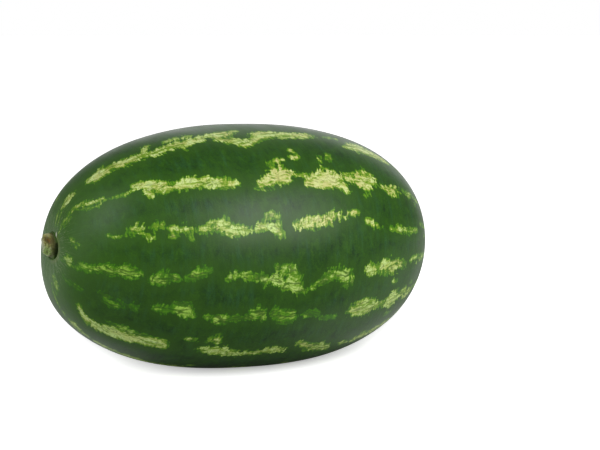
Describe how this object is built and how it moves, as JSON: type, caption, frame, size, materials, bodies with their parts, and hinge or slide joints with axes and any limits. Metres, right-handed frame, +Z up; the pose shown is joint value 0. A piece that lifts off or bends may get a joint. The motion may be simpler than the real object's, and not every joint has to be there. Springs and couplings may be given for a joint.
{
  "type": "whole watermelon",
  "caption": "Whole oval watermelon with dark green skin and broken pale stripes, lying on its side on a small flat spot, with a dry stem stub in its dimple.",
  "frame": {"origin": "on the ground, under the middle of the fruit's box; the flat resting spot lies on it", "axes": "+X along the fruit from the stem end to the blossom end, +Z up as it lies, +Y to the back when the stem is on the left"},
  "size_m": [0.3478, 0.212, 0.21],
  "materials": {
    "skin": "smooth waxy skin, satin, with broken pale yellow-green stripes",
    "stem": "dry and corky, matt"
  },
  "bodies": {
    "root": {"fruit": "skin", "stem_stub": "stem"}
  },
  "joints": []
}
